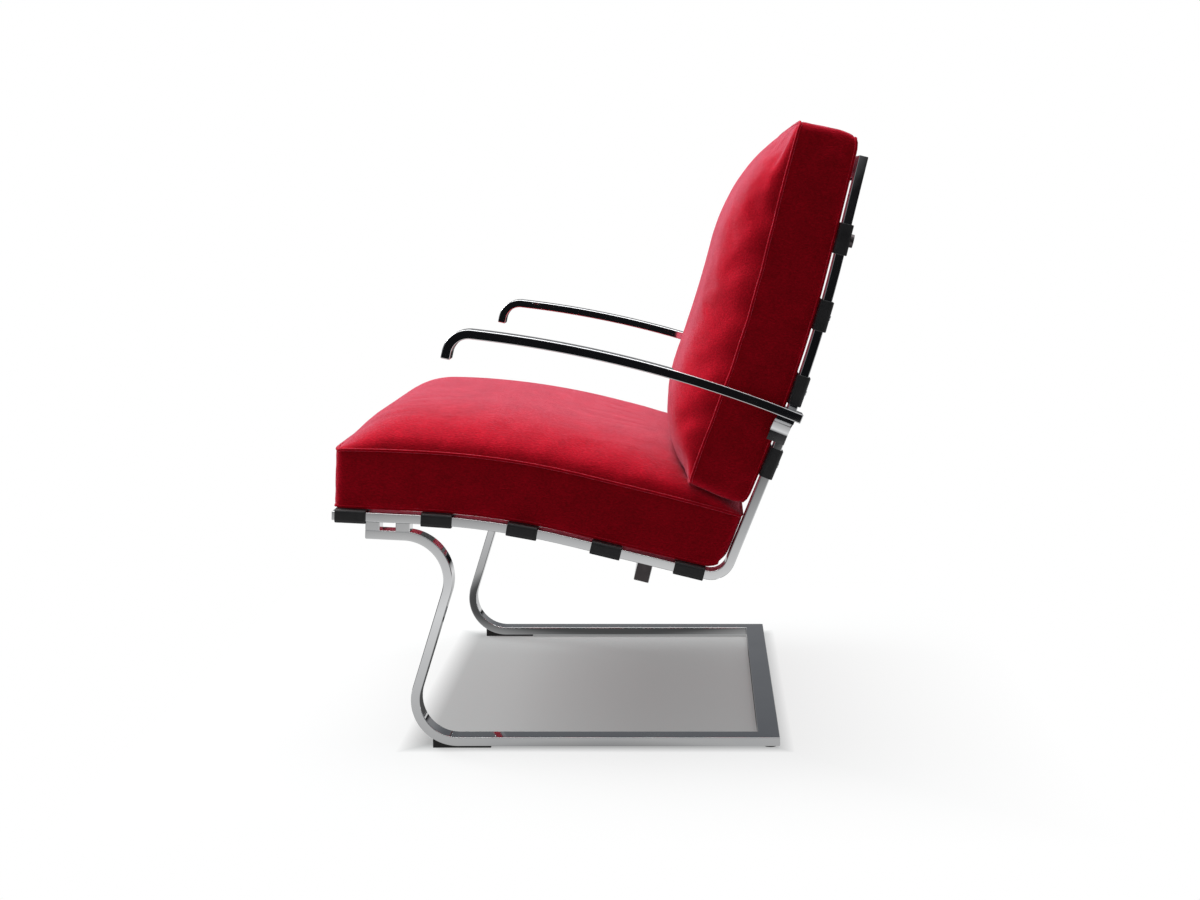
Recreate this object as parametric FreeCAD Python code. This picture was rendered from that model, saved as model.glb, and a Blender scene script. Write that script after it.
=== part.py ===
import FreeCAD, Part
import math
import os

# Cantilever lounge chair: a bent flat-bar base that springs, a strapped seat frame,
# two armrests and two loose cushions. Millimetres, +Z up, the sitter faces -Y.

# Flat steel bar
BAR_WIDTH = 30.0
BAR_THICKNESS = 12.5
BAR_EASE = 1.2
FRAME_WIDTH = 700.0

# Base, side view, from the rear floor corner to the lap end
GLIDE_HEIGHT = 3.0
RUNNER_LENGTH = 444.5
LOWER_BEND_RADIUS = 57.8
LEG_LEAN = 17.5
LEG_LENGTH = 139.8
TOP_BEND_RADIUS = 61.3
LAP_SLOPE = 2.8
LAP_STRAIGHT = 53.0
LAP_LENGTH = 62.0

# Lap joint between base and seat frame
SPACER_HEIGHT = 11.0
SPACER_LENGTH = 19.5
SPACER_PITCH = 41.0
LAP_BOLT_RADIUS = 4.0
LAP_BOLT_HEAD_RADIUS = 6.5
LAP_BOLT_HEAD_HEIGHT = 1.2
LAP_BOLT_BITE = 9.0
BOLT_CLEARANCE = 0.2

# Side rail, side view, from the front end to the top of the back
RAIL_OVERHANG = 46.0
SEAT_FRONT_RUN = 115.6
SEAT_CURVE_RADIUS = 1080.0
SEAT_REAR_SLOPE = 13.9
SEAT_REAR_RUN = 192.0
CORNER_RADIUS = 28.0
BACK_LOW_LEAN = 22.0
BACK_LOW_RUN = 153.5
BACK_CURVE_RADIUS = 1892.0
BACK_TOP_LEAN = 13.4
BACK_TOP_RUN = 139.0

# Crossbar hung below the seat, behind one of the straps
UNDER_BAR_AFTER_STRAP = 4
UNDER_BAR_STRAP_GAP = 25.5
UNDER_BAR_WIDTH = 21.0
UNDER_BAR_DEPTH = 27.0
UNDER_BAR_INSET = 15.0

# Glides
FRONT_GLIDE_LENGTH = 80.0
FRONT_GLIDE_REACH = 35.0
FRONT_GLIDE_WIDTH = 24.0
REAR_GLIDE_RADIUS = 9.0
REAR_GLIDE_INSET = 13.0

# Leather straps
STRAP_WIDTH = 42.0
STRAP_THICKNESS = 3.0
STRAP_CLEARANCE = 0.3
STRAP_TAB = 27.0
SEAT_STRAP_COUNT = 5
SEAT_STRAP_FIRST = 25.0
SEAT_STRAP_PITCH = 117.0
BACK_STRAP_COUNT = 4
BACK_STRAP_FIRST = 112.5
BACK_STRAP_PITCH = 105.5
STRAP_SCREW_RADIUS = 2.0
STRAP_SCREW_HEAD_RADIUS = 4.5
STRAP_SCREW_HEAD_HEIGHT = 1.6
STRAP_SCREW_BITE = 8.0
STUD_RADIUS = 9.0
STUD_HEIGHT = 5.0

# Armrests, side view, from the tip to the rear end
ARM_TAIL = 9.5
ARM_TIP_LEAN = 12.6
ARM_TIP_RADIUS = 30.0
ARM_FRONT_SLOPE = 6.5
ARM_CURVE_RADIUS = 1640.0
ARM_REAR_SLOPE = 21.8
ARM_REAR_RUN = 17.8
ARM_RAIL_DISTANCE = 221.0
ARM_PAST_RAIL = 8.0
BRACKET_LENGTH = 25.0
BRACKET_HEIGHT = 37.0
BRACKET_FOOT = 10.0
BRACKET_LIP = 5.0
ARM_SCREW_RADIUS = 3.0
ARM_SCREW_HEAD_RADIUS = 5.5
ARM_SCREW_HEAD_HEIGHT = 3.0
ARM_SCREW_BITE = 7.0
ARM_SCREW_DROP = 18.6

# Cushions; shares of the crown's height and of the half width
CUSHION_SIDE_GAP = 5.0
CUSHION_GAP = 1.0
SIDE_DRAW = 5.0
COVER_THICKNESS = 2.5
CORE_CLEARANCE = 0.4
NEST_CLEARANCE = 0.6
SEAT_BOXING = 80.0
SEAT_CROWN = 54.0
SEAT_CROWN_FLAT = 0.41
SEAT_FRONT_ROLL = 92.0
SEAT_REAR_ROLL = 120.0
SEAT_HEEL_RADIUS = 24.0
BACK_BOXING = 82.0
BACK_CROWN = 70.0
BACK_CROWN_FLAT = 0.65
BACK_START = 78.0
BACK_OVERHANG = 26.0
BACK_TOP_ROLL = 183.0
BACK_BOTTOM_ROLL = 111.0
BACK_EDGE_RADIUS = 16.0
CROWN_AT_SIDE = 0.06
CROWN_DOME_SHARE = 0.1
CROWN_SHRINK = 0.5
LEAST_CROWN = 1.0
SIDE_REACH = 1.12
CROWN_STATIONS = [0.0, 0.3, 0.55, 0.72, 0.85, 0.94, 0.985, 1.0]

HALF_BAR = BAR_THICKNESS / 2
HALF_FRAME = FRAME_WIDTH / 2
MIDDLE_OF_BAR = HALF_FRAME - BAR_WIDTH / 2
CUSHION_WIDTH = FRAME_WIDTH - 2 * CUSHION_SIDE_GAP
LAYER_UNDER_CUSHION = HALF_BAR + STRAP_CLEARANCE + STRAP_THICKNESS + CUSHION_GAP
SIDES = {"left": 1, "right": -1}


def direction(heading):
    """Unit vector in the side plane; 0 degrees points rearwards, 90 degrees up."""
    angle = math.radians(heading)
    return FreeCAD.Vector(0, math.cos(angle), math.sin(angle))


class SidePath:
    """A line in the side plane made of straights and tangent arcs."""

    def __init__(self, start, heading, steps):
        self.start = start
        self.heading = heading
        self.steps = steps

    def length(self, count=None):
        """Length of the whole line, or of its first few steps."""
        return sum(self.step_length(step) for step in self.steps[:count])

    @staticmethod
    def step_length(step):
        if step[0] == "line":
            return step[1]
        return abs(math.radians(step[2])) * step[1]

    @staticmethod
    def walk(point, heading, step, distance):
        """Point and heading after a distance into one step."""
        if step[0] == "line":
            return point + direction(heading) * distance, heading
        radius, turn = step[1], step[2]
        side = math.copysign(1, turn)
        centre = point + direction(heading + 90 * side) * radius
        new_heading = heading + side * math.degrees(distance / radius)
        return centre - direction(new_heading + 90 * side) * radius, new_heading

    def at(self, distance, offset=0.0):
        """Point at a distance along the path, moved to its left, and the heading there."""
        point, heading = self.start, self.heading
        for number, step in enumerate(self.steps):
            run = self.step_length(step)
            if distance <= run or number == len(self.steps) - 1:
                point, heading = self.walk(point, heading, step, distance)
                break
            point, heading = self.walk(point, heading, step, run)
            distance -= run
        return point + direction(heading + 90) * offset, heading

    def edges(self, begin, end, offset=0.0):
        """The edges between two distances along the path, moved to its left."""
        result = []
        done = 0.0
        for step in self.steps:
            run = self.step_length(step)
            low, high = max(begin, done), min(end, done + run)
            if high - low > 1e-6:
                first, middle, last = (self.at(d, offset)[0] for d in (low, (low + high) / 2, high))
                if step[0] == "line":
                    result.append(Part.LineSegment(first, last).toShape())
                else:
                    result.append(Part.Arc(first, middle, last).toShape())
            done += run
        return result

    def frame(self, distance, offset=0.0):
        """Placement whose x runs along the path, y to its left and z across the chair."""
        point, heading = self.at(distance, offset)
        along, left = direction(heading), direction(heading + 90)
        across = along.cross(left)
        matrix = FreeCAD.Matrix(along.x, left.x, across.x, point.x,
                                along.y, left.y, across.y, point.y,
                                along.z, left.z, across.z, point.z, 0, 0, 0, 1)
        return FreeCAD.Placement(matrix)


def line(first, second):
    return Part.LineSegment(first, second).toShape()


def straight_at(path, distance):
    """The straight line that touches the path at a distance along it."""
    return SidePath(*path.at(distance), [("line", 1)])


def face_of(edges):
    return Part.Face(Part.Wire(Part.__sortEdges__(edges)))


def polygon(points):
    return Part.Face(Part.makePolygon([FreeCAD.Vector(*p) for p in points + points[:1]]))


def mirrored(shape):
    return shape.mirror(FreeCAD.Vector(0, 0, 0), FreeCAD.Vector(1, 0, 0))


def bar_along(path, begin, end, inner_x=HALF_FRAME - BAR_WIDTH):
    """A flat bar with eased edges that follows the path, on the left side of the chair."""
    low, high = path.edges(begin, end, -HALF_BAR), path.edges(begin, end, HALF_BAR)
    caps = [line(path.at(d, -HALF_BAR)[0], path.at(d, HALF_BAR)[0]) for d in (begin, end)]
    profile = face_of(low + high + caps)
    bar = profile.extrude(FreeCAD.Vector(BAR_WIDTH, 0, 0))
    bar.translate(FreeCAD.Vector(inner_x, 0, 0))
    return bar.makeFillet(BAR_EASE, long_edges(bar, path, begin, end))


def long_edges(bar, path, begin, end):
    """The edges of a bar that run along its path, without those of its two end caps."""
    ends = [path.at(d)[0] for d in (begin, end)]
    chosen = []
    for edge in bar.Edges:
        box = edge.BoundBox
        flat = box.XLength < 1e-6
        middle = edge.valueAt((edge.FirstParameter + edge.LastParameter) / 2)
        at_cap = any((middle - FreeCAD.Vector(middle.x, p.y, p.z)).Length < HALF_BAR / 2 for p in ends)
        if flat and not at_cap:
            chosen.append(edge)
    return chosen


def mitred_crossbar(path, distance, outward):
    """A crossbar across both rails at a path's end, with mitred ends and eased long edges."""
    inner = HALF_FRAME - BAR_WIDTH
    reach = -BAR_WIDTH * outward
    section = polygon([(0, -HALF_BAR, 0), (reach, -HALF_BAR, 0), (reach, HALF_BAR, 0), (0, HALF_BAR, 0)])
    bar = section.extrude(FreeCAD.Vector(0, 0, FRAME_WIDTH))
    bar.translate(FreeCAD.Vector(0, 0, -HALF_FRAME))
    bar = bar.makeFillet(BAR_EASE, [e for e in bar.Edges if e.BoundBox.ZLength > FRAME_WIDTH / 2])
    outline = polygon([(0, -BAR_THICKNESS, -HALF_FRAME), (0, -BAR_THICKNESS, HALF_FRAME),
                       (reach, -BAR_THICKNESS, inner), (reach, -BAR_THICKNESS, -inner)])
    bar = bar.common(outline.extrude(FreeCAD.Vector(0, 2 * BAR_THICKNESS, 0)))
    bar.Placement = path.frame(distance)
    return bar


def mitre_cutter(path, distance, outward):
    """The wedge to take off a rail's end so that it meets the mitred crossbar."""
    reach = -BAR_WIDTH * outward
    margin = BAR_WIDTH * outward
    wedge = polygon([(0, -BAR_THICKNESS, HALF_FRAME), (reach, -BAR_THICKNESS, HALF_FRAME - BAR_WIDTH),
                     (reach, -BAR_THICKNESS, 0), (margin, -BAR_THICKNESS, 0),
                     (margin, -BAR_THICKNESS, HALF_FRAME)])
    wedge = wedge.extrude(FreeCAD.Vector(0, 2 * BAR_THICKNESS, 0))
    wedge.Placement = path.frame(distance)
    return wedge


def post(path, distance, x, low, high, radius):
    """A round post across the path at one place, from one offset to another."""
    base, heading = path.at(distance, low)
    base = FreeCAD.Vector(x, base.y, base.z)
    return Part.makeCylinder(radius, high - low, base, direction(heading + 90))


def base_path():
    heading_up = 90 - LEG_LEAN
    steps = [("line", RUNNER_LENGTH), ("arc", LOWER_BEND_RADIUS, heading_up - 180),
             ("line", LEG_LENGTH), ("arc", TOP_BEND_RADIUS, 180 - LAP_SLOPE - heading_up),
             ("line", LAP_STRAIGHT)]
    return SidePath(FreeCAD.Vector(0, 0, GLIDE_HEIGHT + HALF_BAR), 180, steps)


def rail_path(extra=0.0):
    """The side rail's centre line; extra lengthens its last straight beyond the rail."""
    base = base_path()
    lap_tip, heading = base.at(base.length())
    rise = direction(heading - 90) * (BAR_THICKNESS + SPACER_HEIGHT)
    start = lap_tip + rise + direction(heading) * RAIL_OVERHANG
    steps = [("line", SEAT_FRONT_RUN), ("arc", SEAT_CURVE_RADIUS, LAP_SLOPE - SEAT_REAR_SLOPE),
             ("line", SEAT_REAR_RUN), ("arc", CORNER_RADIUS, 90 - BACK_LOW_LEAN + SEAT_REAR_SLOPE),
             ("line", BACK_LOW_RUN), ("arc", BACK_CURVE_RADIUS, BACK_LOW_LEAN - BACK_TOP_LEAN),
             ("line", BACK_TOP_RUN + extra)]
    return SidePath(start, -LAP_SLOPE, steps)


def arm_path():
    """The armrest's centre line, placed so that it crosses the rail below the third back strap."""
    steps = [("line", ARM_TAIL), ("arc", ARM_TIP_RADIUS, ARM_TIP_LEAN - 90 - ARM_FRONT_SLOPE),
             ("arc", ARM_CURVE_RADIUS, ARM_FRONT_SLOPE - ARM_REAR_SLOPE), ("line", ARM_REAR_RUN)]
    free = SidePath(FreeCAD.Vector(0, 0, 0), 90 - ARM_TIP_LEAN, steps)
    rail = rail_path()
    on_rail = rail.at(corner_end() + ARM_RAIL_DISTANCE)[0]
    rear_end = on_rail + direction(-ARM_REAR_SLOPE) * (HALF_BAR + ARM_PAST_RAIL)
    return SidePath(rear_end - free.at(free.length())[0], 90 - ARM_TIP_LEAN, steps)


def corner_end():
    """Distance along the rail at which the bend between seat and back ends."""
    return rail_path().length(4)


def leg_limits():
    """Distances along the base path at which the springy leg begins and ends."""
    base = base_path()
    return base.length(2), base.length() - LAP_LENGTH


def spring_axis_point():
    """Where the spring's hinge axis crosses the side plane: halfway along the leg."""
    begin, end = leg_limits()
    return base_path().at((begin + end) / 2)[0]


def build_base(parts):
    path = base_path()
    begin, end = leg_limits()
    runner = bar_along(path, 0, begin).cut(mitre_cutter(path, 0, -1))
    leg = bar_along(path, begin, end)
    lap = bar_along(path, end, path.length())
    for distance in spacer_places():
        lap = lap.cut(lap_bolt_hole(distance, -BAR_THICKNESS, BAR_THICKNESS))
    add_pair(parts, "base_runner", runner)
    add_pair(parts, "base_leg", leg)
    add_pair(parts, "base_lap_end", lap)
    parts["base_rear_crossbar"] = mitred_crossbar(path, 0, -1)
    add_pair(parts, "front_glide", front_glide(path))
    add_pair(parts, "rear_glide", rear_glide())


def add_pair(parts, name, left_shape):
    parts[name + "_left"] = left_shape
    parts[name + "_right"] = mirrored(left_shape)


def front_glide(path):
    """A long wedge that fills the space between floor and bar where the front bend starts."""
    bend_start = path.at(RUNNER_LENGTH)[0]
    front = bend_start.y - FRONT_GLIDE_REACH
    block = Part.makeBox(FRONT_GLIDE_WIDTH, FRONT_GLIDE_LENGTH, GLIDE_HEIGHT + LOWER_BEND_RADIUS,
                         FreeCAD.Vector(MIDDLE_OF_BAR - FRONT_GLIDE_WIDTH / 2, front, 0))
    radius = LOWER_BEND_RADIUS + HALF_BAR
    bend = Part.makeCylinder(radius, FRAME_WIDTH, FreeCAD.Vector(0, bend_start.y, GLIDE_HEIGHT + radius),
                             FreeCAD.Vector(1, 0, 0))
    above = Part.makeBox(FRAME_WIDTH, FRONT_GLIDE_LENGTH, radius,
                         FreeCAD.Vector(0, bend_start.y, GLIDE_HEIGHT))
    over_centre = Part.makeBox(FRAME_WIDTH, 2 * radius, radius,
                               FreeCAD.Vector(0, bend_start.y - 2 * radius, GLIDE_HEIGHT + radius))
    return block.cut(bend).cut(above).cut(over_centre)


def rear_glide():
    return Part.makeCylinder(REAR_GLIDE_RADIUS, GLIDE_HEIGHT,
                             FreeCAD.Vector(MIDDLE_OF_BAR, -REAR_GLIDE_INSET, 0))


def spacer_places():
    """Distances back from the lap tip of the middles of the two spacers."""
    return [SPACER_LENGTH / 2, SPACER_LENGTH / 2 + SPACER_PITCH]


def lap_bolt_hole(distance, low, high):
    path = base_path()
    return post(path, path.length() - distance, MIDDLE_OF_BAR, low, high,
                LAP_BOLT_RADIUS + BOLT_CLEARANCE)


def build_lap_joint(parts, rail):
    """Spacers and bolts between the lap ends and the rails. The base path runs forwards here,
    so its right-hand side, at negative offsets, is up."""
    path = base_path()
    bolts = []
    for number, distance in enumerate(spacer_places(), 1):
        along = path.length() - distance
        spacer = spacer_block(straight_at(path, path.length()).at(-distance - SPACER_LENGTH / 2)[0])
        spacer = spacer.cut(lap_bolt_hole(distance, -BAR_THICKNESS - SPACER_HEIGHT, HALF_BAR))
        add_pair(parts, "lap_spacer_%d" % number, spacer.cut(parts["base_leg_left"])
                 .cut(parts["base_lap_end_left"]))
        shank_top = -HALF_BAR - SPACER_HEIGHT - LAP_BOLT_BITE
        shank = post(path, along, MIDDLE_OF_BAR, shank_top, HALF_BAR, LAP_BOLT_RADIUS)
        head = post(path, along, MIDDLE_OF_BAR, HALF_BAR, HALF_BAR + LAP_BOLT_HEAD_HEIGHT,
                    LAP_BOLT_HEAD_RADIUS)
        bolts.append(shank.fuse(head).removeSplitter())
        rail = rail.cut(post(path, along, MIDDLE_OF_BAR, shank_top, 0, LAP_BOLT_RADIUS))
    add_pair(parts, "lap_bolts", Part.makeCompound(bolts))
    return rail


def spacer_block(tip):
    """A block from the lap end's upper face to the rail's lower face."""
    block = Part.makeBox(BAR_WIDTH, SPACER_LENGTH, SPACER_HEIGHT)
    block = block.makeFillet(BAR_EASE, [e for e in block.Edges if e.BoundBox.ZLength > SPACER_HEIGHT / 2])
    block.translate(FreeCAD.Vector(HALF_FRAME - BAR_WIDTH, -SPACER_LENGTH, HALF_BAR))
    block.rotate(FreeCAD.Vector(0, 0, 0), FreeCAD.Vector(1, 0, 0), -LAP_SLOPE)
    block.translate(FreeCAD.Vector(0, tip.y, tip.z))
    return block


def build_seat_frame(parts):
    path = rail_path()
    rail = bar_along(path, 0, path.length())
    rail = rail.cut(mitre_cutter(path, 0, -1)).cut(mitre_cutter(path, path.length(), 1))
    rail = build_lap_joint(parts, rail)
    rail = build_straps(parts, path, rail)
    rail = build_arms(parts, rail)
    add_pair(parts, "side_rail", rail)
    parts["seat_front_crossbar"] = mitred_crossbar(path, 0, -1)
    parts["back_top_crossbar"] = mitred_crossbar(path, path.length(), 1)
    parts["under_seat_crossbar"] = under_seat_crossbar(path)


def under_seat_crossbar(path):
    half_length = HALF_FRAME - UNDER_BAR_INSET
    half_width = UNDER_BAR_WIDTH / 2
    section = polygon([(-half_width, 0, 0), (half_width, 0, 0),
                       (half_width, -UNDER_BAR_DEPTH, 0), (-half_width, -UNDER_BAR_DEPTH, 0)])
    bar = section.extrude(FreeCAD.Vector(0, 0, 2 * half_length))
    bar.translate(FreeCAD.Vector(0, 0, -half_length))
    bar = bar.makeFillet(BAR_EASE, [e for e in bar.Edges if e.BoundBox.ZLength > half_length])
    strap = SEAT_STRAP_FIRST + (UNDER_BAR_AFTER_STRAP - 1) * SEAT_STRAP_PITCH
    bar.Placement = path.frame(strap + STRAP_WIDTH / 2 + UNDER_BAR_STRAP_GAP + half_width, -HALF_BAR)
    return bar


def strap_solid(path, distance):
    """A strap across both rails, wrapped round their outer edges, with a tab under each."""
    gap, thick = STRAP_CLEARANCE, STRAP_THICKNESS
    inside = HALF_FRAME + gap
    outside = inside + thick
    top, bottom = HALF_BAR + gap, -HALF_BAR - gap
    tab_end = HALF_FRAME - STRAP_TAB
    outline = [(outside, bottom - thick), (tab_end, bottom - thick), (tab_end, bottom),
               (inside, bottom), (inside, top), (-inside, top), (-inside, bottom),
               (-tab_end, bottom), (-tab_end, bottom - thick), (-outside, bottom - thick),
               (-outside, top + thick), (outside, top + thick)]
    points = [(-STRAP_WIDTH / 2, y, x) for x, y in outline]
    strap = polygon(points).extrude(FreeCAD.Vector(STRAP_WIDTH, 0, 0))
    outer = [e for e in strap.Edges if e.BoundBox.XLength > STRAP_WIDTH / 2
             and abs(abs(e.BoundBox.Center.z) - outside) < STRAP_THICKNESS / 4]
    strap = strap.makeFillet(STRAP_THICKNESS - STRAP_CLEARANCE, outer)
    strap.Placement = path.frame(distance)
    return strap


def strap_screw_places():
    return [side * MIDDLE_OF_BAR for side in SIDES.values()]


def strap_screw(path, distance, x, head_radius, head_height):
    """A screw through a strap's tab into the rail, with a flat round head below the tab."""
    under_tab = -HALF_BAR - STRAP_CLEARANCE - STRAP_THICKNESS
    shank = post(path, distance, x, under_tab, -HALF_BAR + STRAP_SCREW_BITE, STRAP_SCREW_RADIUS)
    head = post(path, distance, x, under_tab - head_height, under_tab, head_radius)
    return shank.fuse(head).removeSplitter()


def build_straps(parts, path, rail):
    places = [("seat_strap_%d" % (n + 1), SEAT_STRAP_FIRST + n * SEAT_STRAP_PITCH)
              for n in range(SEAT_STRAP_COUNT)]
    top = path.length()
    places += [("back_strap_%d" % (n + 1), top - BACK_STRAP_FIRST - n * BACK_STRAP_PITCH)
               for n in range(BACK_STRAP_COUNT)]
    groups = {"seat_strap_screws": [], "back_strap_screws": [], "back_strap_studs": []}
    for name, distance in places:
        strap = strap_solid(path, distance)
        for x in strap_screw_places():
            hole = post(path, distance, x, -HALF_BAR - 2 * STRAP_THICKNESS, -HALF_BAR,
                        STRAP_SCREW_RADIUS + BOLT_CLEARANCE)
            strap = strap.cut(hole)
            if name == "back_strap_1":
                group, radius, height = "back_strap_studs", STUD_RADIUS, STUD_HEIGHT
            else:
                group = name[:4] + "_strap_screws"
                radius, height = STRAP_SCREW_HEAD_RADIUS, STRAP_SCREW_HEAD_HEIGHT
            groups[group].append(strap_screw(path, distance, x, radius, height))
        rail = rail.cut(post(path, distance, MIDDLE_OF_BAR, -BAR_THICKNESS,
                             -HALF_BAR + STRAP_SCREW_BITE, STRAP_SCREW_RADIUS))
        parts[name] = strap
    for group, screws in groups.items():
        parts[group] = Part.makeCompound(screws)
    return rail


def build_arms(parts, rail):
    path = arm_path()
    arm = bar_along(path, 0, path.length(), HALF_FRAME)
    middle = path.length() - ARM_PAST_RAIL - HALF_BAR
    bracket = arm_bracket(path, path.length() - ARM_PAST_RAIL - BRACKET_LENGTH / 2)
    screws = []
    for drop, target in ((0, "arm"), (HALF_BAR + ARM_SCREW_DROP, "bracket")):
        base = path.at(middle, -drop)[0]
        inner = FreeCAD.Vector(HALF_FRAME - BAR_WIDTH - ARM_SCREW_HEAD_HEIGHT, base.y, base.z)
        across = FreeCAD.Vector(1, 0, 0)
        head = Part.makeCylinder(ARM_SCREW_HEAD_RADIUS, ARM_SCREW_HEAD_HEIGHT, inner, across)
        shank = Part.makeCylinder(ARM_SCREW_RADIUS, ARM_SCREW_HEAD_HEIGHT + BAR_WIDTH + ARM_SCREW_BITE,
                                  inner, across)
        screws.append(head.fuse(shank).removeSplitter())
        rail = rail.cut(shank)
        if target == "arm":
            arm = arm.cut(shank)
        else:
            bracket = bracket.cut(shank)
    add_pair(parts, "armrest", arm)
    add_pair(parts, "arm_bracket", bracket)
    add_pair(parts, "arm_screws", Part.makeCompound(screws))
    return rail


def arm_bracket(path, distance):
    """A gusset on the rail's outer face: wide under the armrest, hollowed down to a slim foot."""
    wide = BAR_WIDTH - BAR_EASE
    radius = wide - BRACKET_FOOT
    low = BRACKET_HEIGHT
    shoulder = BRACKET_LIP + radius
    v = FreeCAD.Vector
    mid = radius * math.sin(math.radians(45))
    edges = [line(v(0, 0, 0), v(0, 0, wide)), line(v(0, 0, wide), v(0, -BRACKET_LIP, wide)),
             Part.Arc(v(0, -BRACKET_LIP, wide), v(0, -shoulder + mid, wide - mid),
                      v(0, -shoulder, BRACKET_FOOT)).toShape(),
             line(v(0, -shoulder, BRACKET_FOOT), v(0, -low, BRACKET_FOOT)),
             line(v(0, -low, BRACKET_FOOT), v(0, -low, 0)), line(v(0, -low, 0), v(0, 0, 0))]
    block = face_of(edges).extrude(FreeCAD.Vector(BRACKET_LENGTH, 0, 0))
    block.translate(FreeCAD.Vector(-BRACKET_LENGTH / 2, 0, HALF_FRAME))
    block.Placement = path.frame(distance, -HALF_BAR).multiply(block.Placement)
    return block


def roll(path, distance, offset, run, height, sign):
    """One end of a crown: an arc that rises by height over run, from the piping to the crest.
    Sign is 1 where the crest lies further along the path."""
    radius = (run * run + height * height) / (2 * height)
    half = math.asin(run / radius) / 2
    along = run - radius * math.sin(half)
    up = height - radius * (1 - math.cos(half))
    local = straight_at(path, distance + sign * run)
    foot = path.at(distance, offset)[0]
    middle = local.at(-sign * (run - along), offset + up)[0]
    crest = path.at(distance + sign * run, offset + height)[0]
    return Part.Arc(foot, middle, crest).toShape()


def crown_share(across, flat):
    """Height of a crown, near 0 at the side panel to 1 at the middle, at a share of the half
    width; up to the flat share it hardly falls."""
    edge = max(0.0, (across - flat) / (1 - flat))
    rounded = math.sqrt(max(0.0, 1 - edge * edge))
    domed = 1 - across * across
    rise = (1 - CROWN_DOME_SHARE) * rounded + CROWN_DOME_SHARE * domed
    return CROWN_AT_SIDE + (1 - CROWN_AT_SIDE) * rise


def crown_height(full, share, inset):
    return max(LEAST_CROWN, full * share - inset * CROWN_SHRINK)


def lofted(section, half_width, flat):
    """A cushion through its side-view sections, alike on both sides of the middle."""
    shares = [-s for s in reversed(CROWN_STATIONS[1:])] + CROWN_STATIONS
    wires = []
    for share in shares:
        wire = Part.Wire(section(crown_share(abs(share), flat)))
        wire.translate(FreeCAD.Vector(share * half_width, 0, 0))
        wires.append(wire)
    return Part.makeLoft(wires, True, False)


def draw_in(form, half_width, centre, axis, half_length):
    """Draw both side panels in between their corners, by a wide cylinder each."""
    reach = half_length * SIDE_REACH
    radius = reach * reach / (2 * SIDE_DRAW)
    for side in SIDES.values():
        middle = FreeCAD.Vector(side * (half_width - SIDE_DRAW + radius), centre.y, centre.z)
        tool = Part.makeCylinder(radius, 2 * reach, middle - axis * reach, axis)
        form = form.cut(tool)
    return form


def seat_form(inset):
    """The seat cushion, or the space inside it, as it lies on the straps under the back cushion."""
    path = rail_path()
    low = LAYER_UNDER_CUSHION + inset
    high = low + SEAT_BOXING - 2 * inset
    front = inset
    rear_line = straight_at(path, corner_end())
    rear_offset = HALF_BAR + CUSHION_GAP + inset
    run_end = path.length(2)
    base_line = straight_at(path, run_end)
    heel = meeting(base_line, low, rear_line, rear_offset)
    top_rear = meeting(base_line, high, rear_line, rear_offset)
    heel_radius = SEAT_HEEL_RADIUS - inset
    turn = rear_line.heading - base_line.heading
    cut_back = heel_radius * math.tan(math.radians(turn / 2))
    heel_in = heel - direction(base_line.heading) * cut_back
    heel_out = heel + direction(rear_line.heading) * cut_back
    to_centre = direction(base_line.heading + 90)
    centre = heel_in + to_centre * heel_radius
    heel_mid = centre + (heel - centre).normalize() * heel_radius
    bottom = path.edges(front, run_end, low)
    last_bottom = base_line.at(0, low)[0]
    rear_reach = (top_rear - base_line.at(0, high)[0]).dot(direction(base_line.heading))

    def section(share):
        crown = crown_height(SEAT_CROWN, share, inset)
        rear_crest = rear_reach - SEAT_REAR_ROLL
        crest_end = base_line.at(rear_crest, high + crown)[0]
        rear_radius = (SEAT_REAR_ROLL ** 2 + crown ** 2) / (2 * crown)
        half = math.asin(SEAT_REAR_ROLL / rear_radius) / 2
        roll_mid = base_line.at(rear_crest + rear_radius * math.sin(half),
                                high + crown - rear_radius * (1 - math.cos(half)))[0]
        top = path.edges(front + SEAT_FRONT_ROLL, run_end, high + crown)
        return ([line(path.at(front, high)[0], path.at(front, low)[0])] + bottom
                + [line(last_bottom, heel_in), Part.Arc(heel_in, heel_mid, heel_out).toShape(),
                   line(heel_out, top_rear), Part.Arc(top_rear, roll_mid, crest_end).toShape(),
                   line(crest_end, base_line.at(0, high + crown)[0])]
                + list(reversed(top))
                + [roll(path, front, high, SEAT_FRONT_ROLL, crown, 1)])

    half_width = CUSHION_WIDTH / 2 - inset
    form = lofted(section, half_width, SEAT_CROWN_FLAT)
    half_length = (run_end + rear_reach) / 2
    middle = path.at(half_length, (low + high) / 2)[0]
    form = draw_in(form, half_width, middle, FreeCAD.Vector(0, 0, 1), half_length)
    return form.cut(back_form(-NEST_CLEARANCE - inset, 0.0))


def meeting(first, first_offset, second, second_offset):
    """Where two straight lines meet, each moved to its left by an offset."""
    p, q = first.at(0, first_offset)[0], second.at(0, second_offset)[0]
    u, w = direction(first.heading), direction(second.heading)
    between = q - p
    step = (between.y * w.z - between.z * w.y) / (u.y * w.z - u.z * w.y)
    return p + u * step


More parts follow.
